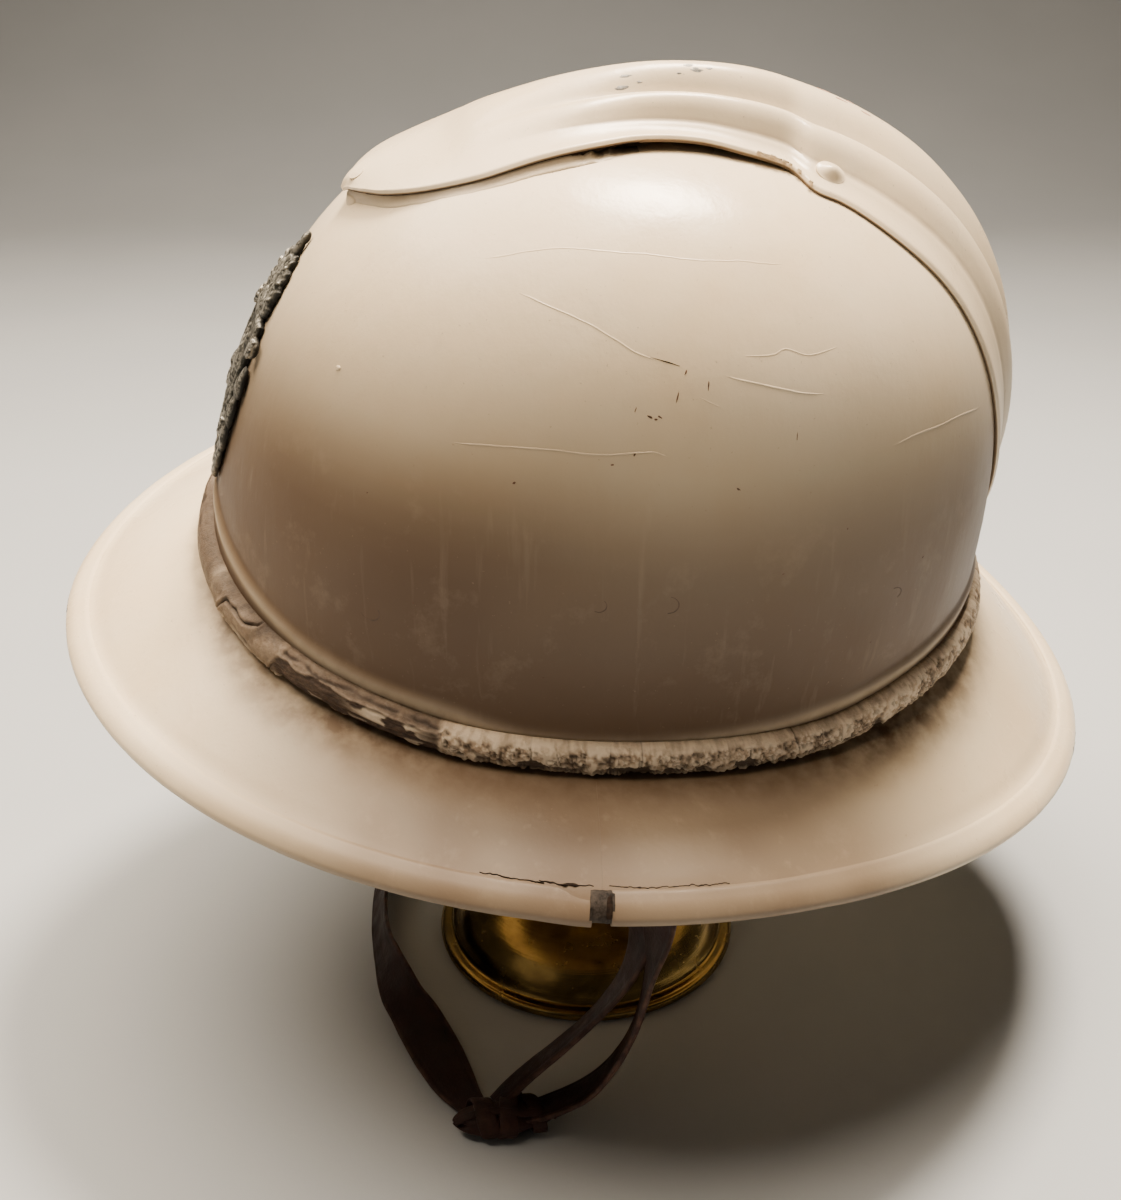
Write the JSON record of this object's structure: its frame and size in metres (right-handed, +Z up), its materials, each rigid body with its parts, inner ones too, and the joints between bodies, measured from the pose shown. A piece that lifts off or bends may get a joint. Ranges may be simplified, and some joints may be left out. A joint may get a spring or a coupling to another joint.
{
  "type": "adrian helmet on a display stand",
  "caption": "Pressed steel crested combat helmet with a wide flared brim, front badge and leather chin strap, resting tilted on a small brass display stand.",
  "frame": {"origin": "centre of the stand foot's flat underside, on the floor", "axes": "+Z up; the helmet's front faces -Y, its left side +X, and its length runs along Y; the helmet leans 11.6 degrees to its left on the stand"},
  "size_m": [0.255, 0.2964, 0.2595],
  "materials": {
    "ivory_paint": "aged ivory enamel, half gloss, with hairline cracks and small chips",
    "welt_paint": "leather welt under cracked and flaking ivory paint, matt",
    "badge_metal": "stamped metal with dark pewter patina and worn edges",
    "lug_steel": "dark browned steel",
    "strap_leather": "old dark red-brown leather, dry, half matt",
    "stand_brass": "polished brass, slightly dulled"
  },
  "bodies": {
    "root": {"skull": "ivory_paint", "front_visor": "ivory_paint", "neck_guard": "ivory_paint", "brim_edging": "ivory_paint", "joint_welt": "welt_paint", "crest": "ivory_paint", "crest_rivet_front": "ivory_paint", "crest_rivet_rear": "ivory_paint", "crest_rivet_left": "ivory_paint", "crest_rivet_right": "ivory_paint", "front_badge": "badge_metal", "strap_lug_left": "lug_steel", "strap_lug_right": "lug_steel", "chin_strap_near": "strap_leather", "chin_strap_far": "strap_leather", "chin_strap_knot": "strap_leather", "stand_foot": "stand_brass", "stand_pole": "stand_brass", "stand_cap": "stand_brass"}
  },
  "joints": []
}
